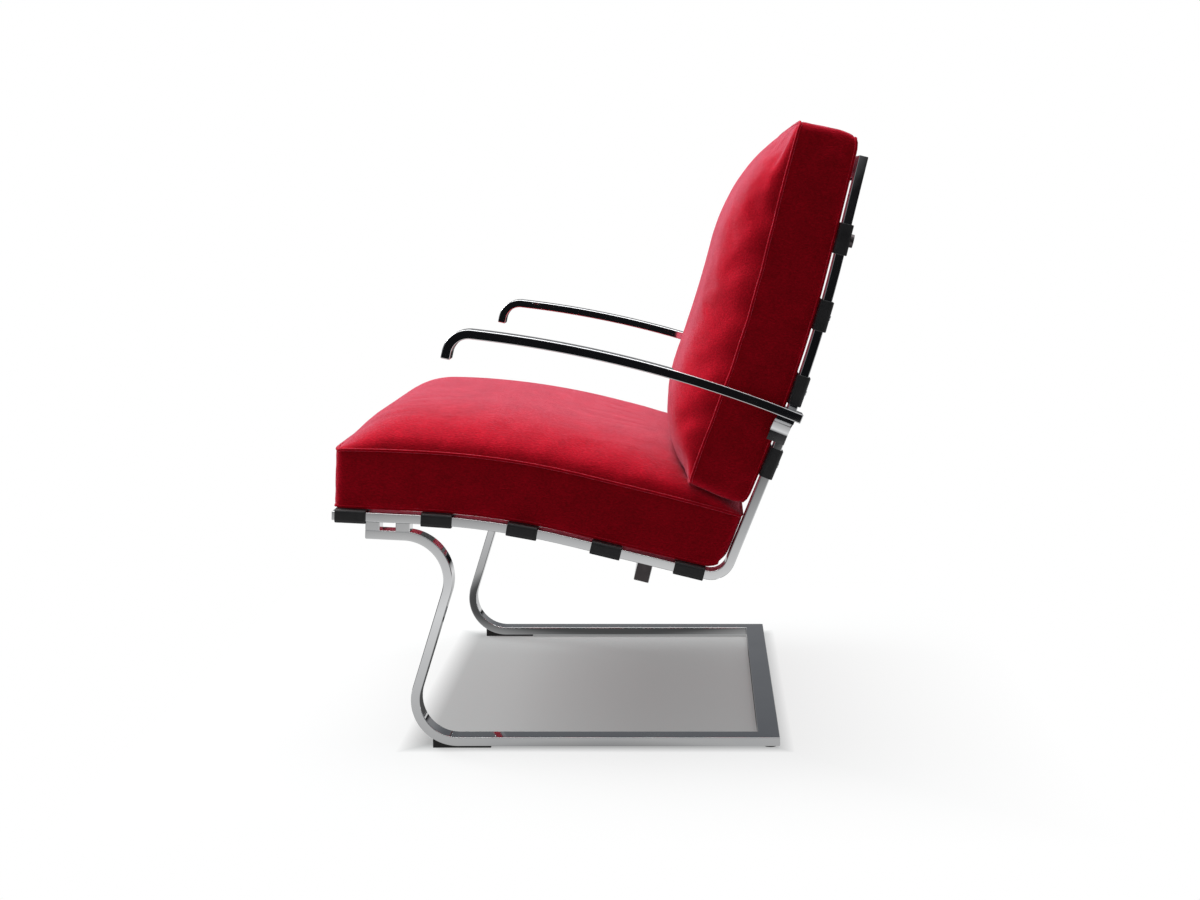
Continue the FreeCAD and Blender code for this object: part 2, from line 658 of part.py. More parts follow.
def back_form(inset, edge_radius=BACK_EDGE_RADIUS):
    """The back cushion, or the space inside it; a negative inset grows it, and an edge radius
    of 0 gives the clear way that the seat cushion needs to slide out from below it."""
    path = rail_path(BACK_OVERHANG)
    low = LAYER_UNDER_CUSHION + inset
    high = low + BACK_BOXING - 2 * inset
    begin = corner_end() + BACK_START + inset
    end = path.length() - inset
    edge = edge_radius - inset
    rear = path.edges(begin + edge, end - edge, low)

    def rounded(distance, sign):
        """The rounded rear edge at one end of the cushion."""
        local = straight_at(path, distance)
        on_end = local.at(0, low + edge)[0]
        on_rear = path.at(distance + sign * edge, low)[0]
        centre = local.at(sign * edge, low + edge)[0]
        corner = local.at(0, low)[0]
        return on_end, Part.Arc(on_end, centre + (corner - centre).normalize() * edge, on_rear).toShape()

    bottom_in, bottom_arc = rounded(begin, 1)
    top_in, top_arc = rounded(end, -1)

    def section(share):
        crown = crown_height(BACK_CROWN, share, inset)
        front = path.edges(begin + BACK_BOTTOM_ROLL, end - BACK_TOP_ROLL, high + crown)
        return ([line(path.at(begin, high)[0], bottom_in), bottom_arc] + rear
                + [top_arc, line(top_in, path.at(end, high)[0]),
                   roll(path, end, high, BACK_TOP_ROLL, crown, -1)]
                + list(reversed(front)) + [roll(path, begin, high, BACK_BOTTOM_ROLL, crown, 1)])

    half_width = CUSHION_WIDTH / 2 - inset
    form = lofted(section, half_width, BACK_CROWN_FLAT)
    middle, heading = path.at((begin + end) / 2, (low + high) / 2)
    return draw_in(form, half_width, middle, direction(heading + 90), (end - begin) / 2)


def build_cushions(parts):
    for name, form in (("seat_cushion", seat_form), ("back_cushion", back_form)):
        parts[name + "_cover"] = form(0.0).cut(form(COVER_THICKNESS))
        parts[name + "_core"] = form(COVER_THICKNESS + CORE_CLEARANCE)


def build():
    """Every sub-part by name, with the origin below the middle of the whole, on the floor."""
    parts = {}
    build_base(parts)
    build_seat_frame(parts)
    build_cushions(parts)
    box = FreeCAD.BoundBox()
    for shape in parts.values():
        box.add(shape.optimalBoundingBox(False, False))
    shift = FreeCAD.Vector(-box.Center.x, -box.Center.y, -box.ZMin)
    for shape in parts.values():
        shape.translate(shift)
    return parts, shift


def main():
    parts, shift = build()
    os.makedirs("parts", exist_ok=True)
    for name, shape in parts.items():
        shape.exportStep("parts/%s.step" % name)
        print("%-26s solids %2d  valid %s  volume %12.1f" %
              (name, len(shape.Solids), shape.isValid(), shape.Volume))
    print("moved by", shift)


main()
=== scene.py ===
import math

import bmesh
import bpy
import numpy
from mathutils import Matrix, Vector, noise


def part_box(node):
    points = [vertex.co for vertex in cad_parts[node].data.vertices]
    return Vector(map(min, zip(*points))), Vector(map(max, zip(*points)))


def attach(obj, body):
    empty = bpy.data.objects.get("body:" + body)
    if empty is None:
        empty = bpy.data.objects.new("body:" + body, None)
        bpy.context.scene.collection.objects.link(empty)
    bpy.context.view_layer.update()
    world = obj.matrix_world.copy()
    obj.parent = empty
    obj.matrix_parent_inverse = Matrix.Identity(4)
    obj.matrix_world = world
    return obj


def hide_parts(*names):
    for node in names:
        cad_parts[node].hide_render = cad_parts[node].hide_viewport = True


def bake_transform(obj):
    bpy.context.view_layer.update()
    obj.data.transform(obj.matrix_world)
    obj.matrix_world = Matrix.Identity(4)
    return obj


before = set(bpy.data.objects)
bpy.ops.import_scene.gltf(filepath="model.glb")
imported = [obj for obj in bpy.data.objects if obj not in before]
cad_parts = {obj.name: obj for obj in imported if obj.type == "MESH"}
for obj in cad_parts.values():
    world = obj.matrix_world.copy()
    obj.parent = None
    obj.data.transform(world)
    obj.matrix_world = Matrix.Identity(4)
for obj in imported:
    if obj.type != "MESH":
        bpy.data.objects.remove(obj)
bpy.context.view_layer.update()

# Metres and degrees. The chair's side view is drawn once, as two bent lines that the bars,
# straps and cushions follow; across the chair everything is measured from the middle.

# Flat steel bar
BAR_WIDTH = 0.030
BAR_THICKNESS = 0.0125
BAR_EASE = 0.0012
HALF_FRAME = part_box("base_rear_crossbar")[1].x
REAR_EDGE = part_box("base_rear_crossbar")[1].y

# Base, from the rear floor corner to the lap end
GLIDE_HEIGHT = 0.003
RUNNER_LENGTH = 0.4445
LOWER_BEND_RADIUS = 0.0578
LEG_LEAN = 17.5
LEG_LENGTH = 0.1398
TOP_BEND_RADIUS = 0.0613
LAP_SLOPE = 2.8
LAP_STRAIGHT = 0.053
LAP_LENGTH = 0.062
SPACER_HEIGHT = 0.011

# Side rail, from the front end to the top of the back
RAIL_OVERHANG = 0.046
SEAT_FRONT_RUN = 0.1156
SEAT_CURVE_RADIUS = 1.080
SEAT_REAR_SLOPE = 13.9
SEAT_REAR_RUN = 0.192
CORNER_RADIUS = 0.028
BACK_LOW_LEAN = 22.0
BACK_LOW_RUN = 0.1535
BACK_CURVE_RADIUS = 1.892
BACK_TOP_LEAN = 13.4
BACK_TOP_RUN = 0.139
UNDER_BAR_DISTANCE = 0.433
UNDER_BAR_WIDTH = 0.021
UNDER_BAR_DEPTH = 0.027
UNDER_BAR_INSET = 0.015

# Leather straps
STRAP_WIDTH = 0.042
STRAP_THICKNESS = 0.003
STRAP_CLEARANCE = 0.0003
STRAP_TAB = 0.027
STRAP_BEND = 0.0036
STRAP_RIM_EASE = 0.0011
STRAP_END_EASE = 0.0010
STRAP_WANDER = 0.0003
SEAT_STRAP_COUNT = 5
SEAT_STRAP_FIRST = 0.025
SEAT_STRAP_PITCH = 0.117
BACK_STRAP_COUNT = 4
BACK_STRAP_FIRST = 0.1125
BACK_STRAP_PITCH = 0.1055

# Armrests, from the tip to the rear end
ARM_TAIL = 0.0095
ARM_TIP_LEAN = 12.6
ARM_TIP_RADIUS = 0.030
ARM_FRONT_SLOPE = 6.5
ARM_CURVE_RADIUS = 1.640
ARM_REAR_SLOPE = 21.8
ARM_REAR_RUN = 0.0178
ARM_RAIL_DISTANCE = 0.221
ARM_PAST_RAIL = 0.008

# Cushions
CUSHION_HALF_WIDTH = 0.345
CUSHION_GAP = 0.001
SEAT_BOXING = 0.080
SEAT_CROWN = 0.054
SEAT_CROWN_FLAT = 0.41
SEAT_FRONT_ROLL = 0.092
SEAT_REAR_ROLL = 0.120
SEAT_HEEL_RADIUS = 0.024
BACK_BOXING = 0.082
BACK_CROWN = 0.070
BACK_CROWN_FLAT = 0.65
BACK_START = 0.078
BACK_OVERHANG = 0.026
BACK_TOP_ROLL = 0.183
BACK_BOTTOM_ROLL = 0.111
BACK_EDGE_RADIUS = 0.016
CORNER_IN_PLAN = 0.014
SIDE_DRAW = 0.005
SIDE_REACH = 1.12
CROWN_DOME_SHARE = 0.1
NESTED_FROM = 0.74
STRAP_BULGE = 0.003
NEST_GAP = 0.0012
PANEL_CELL = 0.0095
PIPING_RADIUS = 0.0021
PIPING_STAND = 0.0006

# Creases of the back panel: distances up from its lower end, and their run, in metres and degrees
CREASE_PLACES = [0.11, 0.19, 0.26, 0.34, 0.41]
CREASE_SLANT = 50.0
CREASE_LENGTH = 0.075
CREASE_WIDTH = 0.014
CREASE_DEPTH = 0.0045
CREASE_WANDER = 0.03
CREASE_TURN = 25.0

# Fabric: cut a little too wide, held by its seams, and allowed to move only so far
FABRIC_EASE = 0.022
FABRIC_PRESSURE = 4.0
FABRIC_REACH = 0.006
FABRIC_FRAMES = 20
SWELL_ROUNDS = 30
SWELL_KEPT = 0.12
SEAT_FOLDS_KEPT = 0.3
BACK_FOLDS_KEPT = 0.9

HALF_BAR = BAR_THICKNESS / 2
UNDER_CUSHION = HALF_BAR + STRAP_CLEARANCE + STRAP_THICKNESS + CUSHION_GAP
SHARP_ANGLE = 50.0
SIDES = {"left": 1, "right": -1}


def direction(heading):
    """Unit vector (y, z) in the side plane; 0 degrees points rearwards, 90 degrees up."""
    return Vector((math.cos(math.radians(heading)), math.sin(math.radians(heading))))


class SidePath:
    """A line in the side plane made of straights and tangent arcs."""

    def __init__(self, start, heading, steps):
        self.start = Vector(start)
        self.heading = heading
        self.steps = steps

    @staticmethod
    def step_length(step):
        return step[1] if step[0] == "line" else abs(math.radians(step[2])) * step[1]

    def length(self, count=None):
        return sum(self.step_length(step) for step in self.steps[:count])

    @staticmethod
    def walk(point, heading, step, distance):
        if step[0] == "line":
            return point + direction(heading) * distance, heading
        radius, side = step[1], math.copysign(1, step[2])
        centre = point + direction(heading + 90 * side) * radius
        heading += side * math.degrees(distance / radius)
        return centre - direction(heading + 90 * side) * radius, heading

    def at(self, distance, offset=0.0):
        """Point at a distance along the path, moved to its left, and the heading there."""
        point, heading = self.start, self.heading
        for number, step in enumerate(self.steps):
            run = self.step_length(step)
            if distance <= run or number == len(self.steps) - 1:
                point, heading = self.walk(point, heading, step, distance)
                break
            point, heading = self.walk(point, heading, step, run)
            distance -= run
        return point + direction(heading + 90) * offset, heading

    def stations(self, begin, end, longest=0.02, turn=2.0):
        """Distances between two places: close together in the bends, wide apart on straights."""
        places, done = [begin], 0.0
        for step in self.steps:
            run = self.step_length(step)
            low, high = max(begin, done), min(end, done + run)
            if high - low > 1e-7:
                cell = longest if step[0] == "line" else min(longest, step[1] * math.radians(turn))
                count = max(1, math.ceil((high - low) / cell))
                places += [low + (high - low) * n / count for n in range(1, count + 1)]
            done += run
        return places


def straight_at(path, distance):
    return SidePath(*path.at(distance), [("line", 1.0)])


def base_path():
    up = 90 - LEG_LEAN
    steps = [("line", RUNNER_LENGTH), ("arc", LOWER_BEND_RADIUS, up - 180), ("line", LEG_LENGTH),
             ("arc", TOP_BEND_RADIUS, 180 - LAP_SLOPE - up), ("line", LAP_STRAIGHT)]
    return SidePath((REAR_EDGE, GLIDE_HEIGHT + HALF_BAR), 180, steps)


def rail_path(extra=0.0):
    base = base_path()
    lap_tip, heading = base.at(base.length())
    start = (lap_tip + direction(heading - 90) * (BAR_THICKNESS + SPACER_HEIGHT)
             + direction(heading) * RAIL_OVERHANG)
    steps = [("line", SEAT_FRONT_RUN), ("arc", SEAT_CURVE_RADIUS, LAP_SLOPE - SEAT_REAR_SLOPE),
             ("line", SEAT_REAR_RUN), ("arc", CORNER_RADIUS, 90 - BACK_LOW_LEAN + SEAT_REAR_SLOPE),
             ("line", BACK_LOW_RUN), ("arc", BACK_CURVE_RADIUS, BACK_LOW_LEAN - BACK_TOP_LEAN),
             ("line", BACK_TOP_RUN + extra)]
    return SidePath(start, -LAP_SLOPE, steps)


def arm_path():
    steps = [("line", ARM_TAIL), ("arc", ARM_TIP_RADIUS, ARM_TIP_LEAN - 90 - ARM_FRONT_SLOPE),
             ("arc", ARM_CURVE_RADIUS, ARM_FRONT_SLOPE - ARM_REAR_SLOPE), ("line", ARM_REAR_RUN)]
    free = SidePath((0, 0), 90 - ARM_TIP_LEAN, steps)
    on_rail = rail_path().at(corner_end() + ARM_RAIL_DISTANCE)[0]
    rear_end = on_rail + direction(-ARM_REAR_SLOPE) * (HALF_BAR + ARM_PAST_RAIL)
    return SidePath(rear_end - free.at(free.length())[0], 90 - ARM_TIP_LEAN, steps)


def corner_end():
    """Distance along the rail at which the bend between seat and back ends."""
    return rail_path().length(4)


# Painted shade and sheen: colours of the pile from end-on (0) to edge-on (1), darker end-on and a
# painted pink highlight edge-on
VELVET_PAINTED_SHADE_AND_SHEEN = [(0.0, (0.34, 0.001, 0.008)), (0.06, (0.40, 0.001, 0.010)), (0.22, (0.68, 0.003, 0.020)),
                (0.50, (0.84, 0.008, 0.036)), (0.80, (0.66, 0.016, 0.034)), (0.90, (0.80, 0.08, 0.14)),
                (1.0, (1.0, 0.42, 0.55))]


# Meshes

def mesh_object(name, vertices, faces, smooth=True):
    mesh = bpy.data.meshes.new(name)
    mesh.from_pydata([tuple(v) for v in vertices], [], faces)
    mesh.update()
    mesh.shade_smooth() if smooth else mesh.shade_flat()
    piece = bpy.data.objects.new(name, mesh)
    bpy.context.scene.collection.objects.link(piece)
    return piece


def tube_faces(rings, around, closed=False, capped=True):
    """Quads between rings of equal length, with a cap on both ends of an open run."""
    faces = []
    last = rings if closed else rings - 1
    for r in range(last):
        a, b = r * around, ((r + 1) % rings) * around
        faces += [(a + n, a + (n + 1) % around, b + (n + 1) % around, b + n) for n in range(around)]
    if capped and not closed:
        faces.append(tuple(reversed(range(around))))
        faces.append(tuple(range((rings - 1) * around, rings * around)))
    return faces


def fix_normals(piece):
    work = bmesh.new()
    work.from_mesh(piece.data)
    bmesh.ops.recalc_face_normals(work, faces=work.faces)
    work.to_mesh(piece.data)
    work.free()
    piece.data.set_sharp_from_angle(angle=math.radians(SHARP_ANGLE))


def weighted_normals(piece):
    """Flat faces stay flat in the mirror, and only the eased edges bend the reflection."""
    modifier = piece.modifiers.new("flat_faces", "WEIGHTED_NORMAL")
    modifier.keep_sharp = True
    modifier.weight = 100


def rounded_section(width, height, ease, segments=4):
    """Corners of a rectangle with eased edges, as (across, offset) pairs round its middle."""
    points = []
    for side_x, side_y, start in ((1, 1, 0), (-1, 1, 90), (-1, -1, 180), (1, -1, 270)):
        for n in range(segments + 1):
            angle = math.radians(start + 90 * n / segments)
            points.append((side_x * (width / 2 - ease) + ease * math.cos(angle),
                           side_y * (height / 2 - ease) + ease * math.sin(angle)))
    return points


def shrunk(section, inset):
    return [(x - math.copysign(min(inset, abs(x)), x), y - math.copysign(min(inset, abs(y)), y))
            for x, y in section]


def bent_bar(name, path, begin, end, middle_x, mitres=(0, 0), longest=0.02):
    """A flat bar along a side path. An end with a mitre of 1 is cut at 45 degrees, outer edge
    longest; an end with 0 is square with eased edges."""
    section = rounded_section(BAR_WIDTH, BAR_THICKNESS, BAR_EASE)
    near, far = (BAR_WIDTH + BAR_EASE if m else 0.0 for m in mitres)
    places = [p for p in path.stations(begin, end, longest)
              if begin + max(near, BAR_EASE) < p < end - max(far, BAR_EASE)]
    rings = [(p, 0.0) for p in places]

    def end_rings(mitre, place, sign):
        if mitre:
            return [(place, None)]
        turns = (90, 60, 30, 0)
        return [(place + sign * BAR_EASE * (1 - math.sin(math.radians(a))),
                 BAR_EASE * (1 - math.cos(math.radians(a)))) for a in turns]

    rings = end_rings(mitres[0], begin, 1) + rings + list(reversed(end_rings(mitres[1], end, -1)))
    vertices = []
    for number, (place, inset) in enumerate(rings):
        for across, offset in (section if not inset else shrunk(section, inset)):
            x = middle_x + across
            distance = place
            if inset is None:
                distance += (1 if number == 0 else -1) * (HALF_FRAME - abs(x))
            point = path.at(distance, offset)[0]
            vertices.append((x, point.x, point.y))
    piece = mesh_object(name, vertices, tube_faces(len(rings), len(section)))
    fix_normals(piece)
    weighted_normals(piece)
    return piece


def crossbar(name, path, distance, outward, width=BAR_WIDTH, depth=BAR_THICKNESS,
             half_length=None, low_offset=None):
    """A bar across the chair at a place on a path: mitred into both rails, or square-ended."""
    mitred = half_length is None
    half_length = HALF_FRAME if mitred else half_length
    section = rounded_section(width, depth, BAR_EASE)
    middle = distance - outward * width / 2 if mitred else distance
    offset_shift = 0.0 if low_offset is None else low_offset
    rings = [(-half_length, None), (half_length, None)]
    if not mitred:
        eases = [(BAR_EASE * (1 - math.sin(math.radians(a))), BAR_EASE * (1 - math.cos(math.radians(a))))
                 for a in (90, 60, 30, 0)]
        rings = ([(-half_length + d, i) for d, i in eases]
                 + [(half_length - d, i) for d, i in reversed(eases)])
    local = straight_at(path, distance)
    vertices = []
    for x, inset in rings:
        for along, offset in (section if not inset else shrunk(section, inset)):
            place = middle + along - distance
            reach = x
            if mitred:
                reach = math.copysign(half_length - abs(place), x)
            point = local.at(place, offset + offset_shift)[0]
            vertices.append((reach, point.x, point.y))
    piece = mesh_object(name, vertices, tube_faces(len(rings), len(section)))
    fix_normals(piece)
    weighted_normals(piece)
    return piece


# Materials

def new_material(name):
    material = bpy.data.materials.new(name)
    material.use_nodes = True
    nodes = material.node_tree.nodes
    return material, nodes, material.node_tree.links, nodes["Principled BSDF"]


def node(nodes, kind, **values):
    made = nodes.new(kind)
    for key, value in values.items():
        if hasattr(made, key):
            setattr(made, key, value)
        else:
            made.inputs[key].default_value = value
    return made


def object_noise(nodes, links, scale, stretch=(1, 1, 1), detail=4.0, rough=0.5):
    """Noise in the piece's own metres; scale is in features per metre."""
    place = nodes.new("ShaderNodeTexCoord")
    mapping = nodes.new("ShaderNodeMapping")
    mapping.inputs["Scale"].default_value = stretch
    made = node(nodes, "ShaderNodeTexNoise", Scale=scale, Detail=detail, Roughness=rough)
    links.new(place.outputs["Object"], mapping.inputs["Vector"])
    links.new(mapping.outputs["Vector"], made.inputs["Vector"])
    return made.outputs["Fac"]


def ramp(nodes, links, source, stops):
    made = nodes.new("ShaderNodeValToRGB")
    points = made.color_ramp.elements
    while len(points) < len(stops):
        points.new(0.5)
    for point, (place, colour) in zip(points, stops):
        point.position = place
        point.color = (*colour, 1)
    links.new(source, made.inputs["Fac"])
    return made.outputs["Color"]


def map_range(nodes, links, source, low, high, new_low, new_high):
    made = nodes.new("ShaderNodeMapRange")
    for socket, value in (("From Min", low), ("From Max", high), ("To Min", new_low),
                          ("To Max", new_high)):
        made.inputs[socket].default_value = value
    links.new(source, made.inputs["Value"])
    return made.outputs["Result"]


def bump(nodes, links, height, strength, distance, normal=None):
    made = node(nodes, "ShaderNodeBump", Strength=strength, Distance=distance)
    links.new(height, made.inputs["Height"])
    if normal is not None:
        links.new(normal, made.inputs["Normal"])
    return made.outputs["Normal"]


def chrome_material():
    """Polished chrome with faint buffing streaks along the chair and a little haze."""
    material, nodes, links, shader = new_material("chrome")
    shader.inputs["Metallic"].default_value = 1.0
    haze = object_noise(nodes, links, 9.0, detail=3.0)
    tone = ramp(nodes, links, haze, [(0.3, (0.80, 0.81, 0.825)), (0.7, (0.86, 0.865, 0.87))])
    links.new(tone, shader.inputs["Base Color"])
    streaks = object_noise(nodes, links, 900.0, stretch=(1.0, 0.05, 0.05), detail=2.0)
    links.new(map_range(nodes, links, streaks, 0.3, 0.7, 0.025, 0.07), shader.inputs["Roughness"])
    wave = object_noise(nodes, links, 14.0, detail=1.0)
    links.new(bump(nodes, links, wave, 0.10, 0.0006), shader.inputs["Normal"])
    return material


def dark_ends_and_studs_material():
    material, nodes, links, shader = new_material("bar_end_dark")
    shader.inputs["Metallic"].default_value = 1.0
    tone = ramp(nodes, links, object_noise(nodes, links, 60.0), [(0.3, (0.085, 0.075, 0.078)),
                                                                 (0.7, (0.12, 0.105, 0.108))])
    links.new(tone, shader.inputs["Base Color"])
    shader.inputs["Roughness"].default_value = 0.35
    return material


def leather_material():
    """Black strap leather: fine pebbled grain and soft sheen."""
    material, nodes, links, shader = new_material("strap_leather")
    place = nodes.new("ShaderNodeTexCoord")
    pebbles = node(nodes, "ShaderNodeTexVoronoi", feature="SMOOTH_F1", Scale=850.0)
    links.new(place.outputs["Object"], pebbles.inputs["Vector"])
    cloud = object_noise(nodes, links, 45.0, detail=5.0)
    tone = ramp(nodes, links, cloud, [(0.3, (0.006, 0.006, 0.007)), (0.7, (0.013, 0.013, 0.015))])
    links.new(tone, shader.inputs["Base Color"])
    links.new(map_range(nodes, links, cloud, 0.3, 0.7, 0.38, 0.52), shader.inputs["Roughness"])
    fine = bump(nodes, links, pebbles.outputs["Distance"], 0.35, 0.0004)
    links.new(bump(nodes, links, cloud, 0.25, 0.0012, fine), shader.inputs["Normal"])
    return material


def plastic_material():
    material, nodes, links, shader = new_material("glide_plastic")
    cloud = object_noise(nodes, links, 400.0)
    links.new(ramp(nodes, links, cloud, [(0.3, (0.010, 0.010, 0.010)), (0.7, (0.018, 0.018, 0.018))]),
              shader.inputs["Base Color"])
    links.new(map_range(nodes, links, cloud, 0.3, 0.7, 0.45, 0.6), shader.inputs["Roughness"])
    links.new(bump(nodes, links, cloud, 0.3, 0.0003), shader.inputs["Normal"])
    return material


def velvet_material():
    """Red mohair velvet: the dense pile is painted darker seen end-on as shade and painted pink seen
    edge-on as sheen.
    """
    material, nodes, links, shader = new_material("red_velvet")
    pile = object_noise(nodes, links, 620.0, stretch=(0.8, 0.4, 1.0), detail=3.0, rough=0.7)
    nap = object_noise(nodes, links, 22.0, stretch=(1.0, 1.6, 1.6), detail=5.0)
    rows = object_noise(nodes, links, 260.0, stretch=(0.3, 0.10, 1.0), detail=2.0)
    fine = bump(nodes, links, pile, 0.7, 0.0011)
    normal = bump(nodes, links, rows, 0.30, 0.0009, fine)
    # Base colour by viewing angle: painted shade where the pile is seen end-on, painted pink highlight
    # where it is seen edge-on
    facing = node(nodes, "ShaderNodeLayerWeight", Blend=0.5)
    links.new(normal, facing.inputs["Normal"])
    colour = ramp(nodes, links, facing.outputs["Facing"], VELVET_PAINTED_SHADE_AND_SHEEN)
    shade = ramp(nodes, links, nap, [(0.28, (0.80, 0.80, 0.80)), (0.72, (1.0, 1.0, 1.0))])
    grain = ramp(nodes, links, pile, [(0.34, (0.58, 0.56, 0.56)), (0.66, (1.0, 1.0, 1.0))])
    for layer in (shade, grain):
        mix = node(nodes, "ShaderNodeMix", data_type="RGBA", blend_type="MULTIPLY")
        mix.inputs[0].default_value = 1.0
        links.new(colour, mix.inputs[6])
        links.new(layer, mix.inputs[7])
        colour = mix.outputs[2]
    links.new(colour, shader.inputs["Base Color"])
    shader.inputs["Roughness"].default_value = 0.95
    shader.inputs["Specular IOR Level"].default_value = 0.08
    shader.inputs["Sheen Weight"].default_value = 0.55
    shader.inputs["Sheen Roughness"].default_value = 0.35
    shader.inputs["Sheen Tint"].default_value = (1.0, 0.30, 0.42, 1.0)
    links.new(normal, shader.inputs["Normal"])
    return material


def paint(piece, material):
    piece.data.materials.clear()
    piece.data.materials.append(material)


def dress(piece, material, slot, *nodes, body="seat_frame"):
    """Finish, replaced nodes and body of a new piece; slot is not used."""
    paint(piece, material)
    if nodes:
        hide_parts(*nodes)
    if body:
        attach(piece, body)
    return piece


# Steel

def build_steel(chrome, dark):
    base, rail, arm = base_path(), rail_path(), arm_path()
    middle = HALF_FRAME - BAR_WIDTH / 2
    leg_begin = base.length(2)
    leg_end = base.length() - LAP_LENGTH
    for side, sign in SIDES.items():
        bar = bent_bar("base_bar_" + side, base, 0, base.length(), sign * middle, (1, 0), 0.008)
        dress(bar, chrome, "chrome_bar", *("base_%s_%s" % (part, side)
              for part in ("runner", "leg", "lap_end")), body=None)
        ends = [(0, *base.at(place)[0]) for place in (leg_begin, leg_end)]
        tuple(ends[0])
        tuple(ends[1])
        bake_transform(bar)
        dress(bent_bar("rail_" + side, rail, 0, rail.length(), sign * middle, (1, 1)),
              chrome, "chrome_bar", "side_rail_" + side)
        dress(bent_bar("arm_" + side, arm, 0, arm.length(), sign * (HALF_FRAME + BAR_WIDTH / 2)),
              chrome, "chrome_bar", "armrest_" + side)
    dress(crossbar("floor_crossbar", base, 0, -1), chrome, "chrome_bar", "base_rear_crossbar",
          body="base")
    dress(crossbar("front_crossbar", rail, 0, -1), chrome, "chrome_bar", "seat_front_crossbar")
    dress(crossbar("top_crossbar", rail, rail.length(), 1), chrome, "chrome_bar", "back_top_crossbar")
    under = crossbar("under_crossbar", rail, UNDER_BAR_DISTANCE, 0, UNDER_BAR_WIDTH, UNDER_BAR_DEPTH,
                     HALF_FRAME - UNDER_BAR_INSET, -HALF_BAR - UNDER_BAR_DEPTH / 2)
    dress(under, chrome, "chrome_bar", "under_seat_crossbar")
    # The under crossbar's end faces get the dark material instead of chrome
    under.data.materials.append(dark)
    for face in under.data.polygons:
        if abs(face.normal.x) > 0.9:
            face.material_index = 1


# Straps

def strap_line():
    """The strap's middle line as (across, offset, normal angle), from one tab end to the other."""
    half = STRAP_THICKNESS / 2
    outside = HALF_FRAME + STRAP_CLEARANCE + half
    level = HALF_BAR + STRAP_CLEARANCE + half
    tab_end = HALF_FRAME - STRAP_TAB
    bend = STRAP_BEND
    right = [(tab_end + (outside - bend - tab_end) * n / 4, -level, -90) for n in range(4)]
    for centre_y, start in ((-level + bend, -90), (level - bend, 0)):
        for n in range(7):
            angle = start + 15 * n
            right.append((outside - bend + bend * math.cos(math.radians(angle)),
                          centre_y + bend * math.sin(math.radians(angle)), angle))
    span = outside - bend
    top = [(span * (1 - 2 * n / 40), level, 90) for n in range(1, 40)]
    left = [(-x, y, 180 - a) for x, y, a in reversed(right)]
    return right + top + left


def build_strap(name, path, distance, seed, leather):
    """A leather strap swept along its line, with round edges and a little give."""
    rim = rounded_section(STRAP_WIDTH, STRAP_THICKNESS, STRAP_RIM_EASE, 4)
    local = straight_at(path, distance)
    vertices = []
    line = strap_line()
    for number, (across, offset, angle) in enumerate(line):
        end = min(number, len(line) - 1 - number)
        inset = STRAP_END_EASE if end == 0 else 0.0
        wander = STRAP_WANDER * noise.noise((across * 9, seed, 0.0))
        normal = (math.cos(math.radians(angle)), math.sin(math.radians(angle)))
        for along, thick in (shrunk(rim, inset) if inset else rim):
            thick += wander if abs(across) < HALF_FRAME - BAR_WIDTH else 0.0
            point = local.at(along, offset + thick * normal[1])[0]
            vertices.append((across + thick * normal[0], point.x, point.y))
    piece = mesh_object(name, vertices, tube_faces(len(line), len(rim)))
    fix_normals(piece)
    weighted_normals(piece)
    return dress(piece, leather, "black_leather", name.replace("leather_", ""))


def strap_places():
    """Distances along the rail of the middles of the straps, in the order of their numbers."""
    top = rail_path().length() - BACK_STRAP_FIRST
    return {"seat": [SEAT_STRAP_FIRST + n * SEAT_STRAP_PITCH for n in range(SEAT_STRAP_COUNT)],
            "back": [top - n * BACK_STRAP_PITCH for n in range(BACK_STRAP_COUNT)]}


def build_straps(leather):
    path = rail_path()
    for part, places in strap_places().items():
        for number, distance in enumerate(places, 1):
            name = "leather_%s_strap_%d" % (part, number)
            build_strap(name, path, distance, number + 10 * (part == "back"), leather)


# Cushions

def crown_share(across, flat):
    """Height of a crown, 0 at the side panel to 1 at the middle, at a share of the half width;
    up to the flat share it hardly falls."""
    edge = max(0.0, (abs(across) - flat) / (1 - flat))
    shoulder = math.sqrt(max(0.0, 1 - edge * edge))
    return (1 - CROWN_DOME_SHARE) * shoulder + CROWN_DOME_SHARE * (1 - across * across)


def roll_height(distance, run, crown):
    """Height of an arc that rises from 0 to the crown over a run."""
    if distance >= run:
        return crown
    radius = (run * run + crown * crown) / (2 * crown)
    short = run - max(0.0, distance)
    return crown - (radius - math.sqrt(max(0.0, radius * radius - short * short)))


def rounded_corner(a, b, radius):
    """Moves a point that lies within a corner's square, at a and b from its two edges, so that
    the square's edge becomes the corner's arc."""
    u, v = a - radius, b - radius
    if u >= 0 or v >= 0:
        return a, b
    reach = max(-u, -v)
    size = math.hypot(u, v)
    return radius + u / size * reach, radius + v / size * reach


def drawn_in(distance, length):
    """How far a side panel is drawn in at a distance from one of its ends."""
    share = (2 * distance / length - 1) / SIDE_REACH
    return SIDE_DRAW * (1 - share * share)


def strap_bulge(distance, across, straps):
    """How far the filling sinks between two straps, most in the middle of the chair."""
    straps = sorted(straps)
    for first, second in zip(straps, straps[1:]):
        low, high = first + STRAP_WIDTH / 2, second - STRAP_WIDTH / 2
        if low < distance < high:
            wave = math.sin(math.pi * (distance - low) / (high - low)) ** 2
            return STRAP_BULGE * wave * (1 - across ** 4) ** 2
    return 0.0


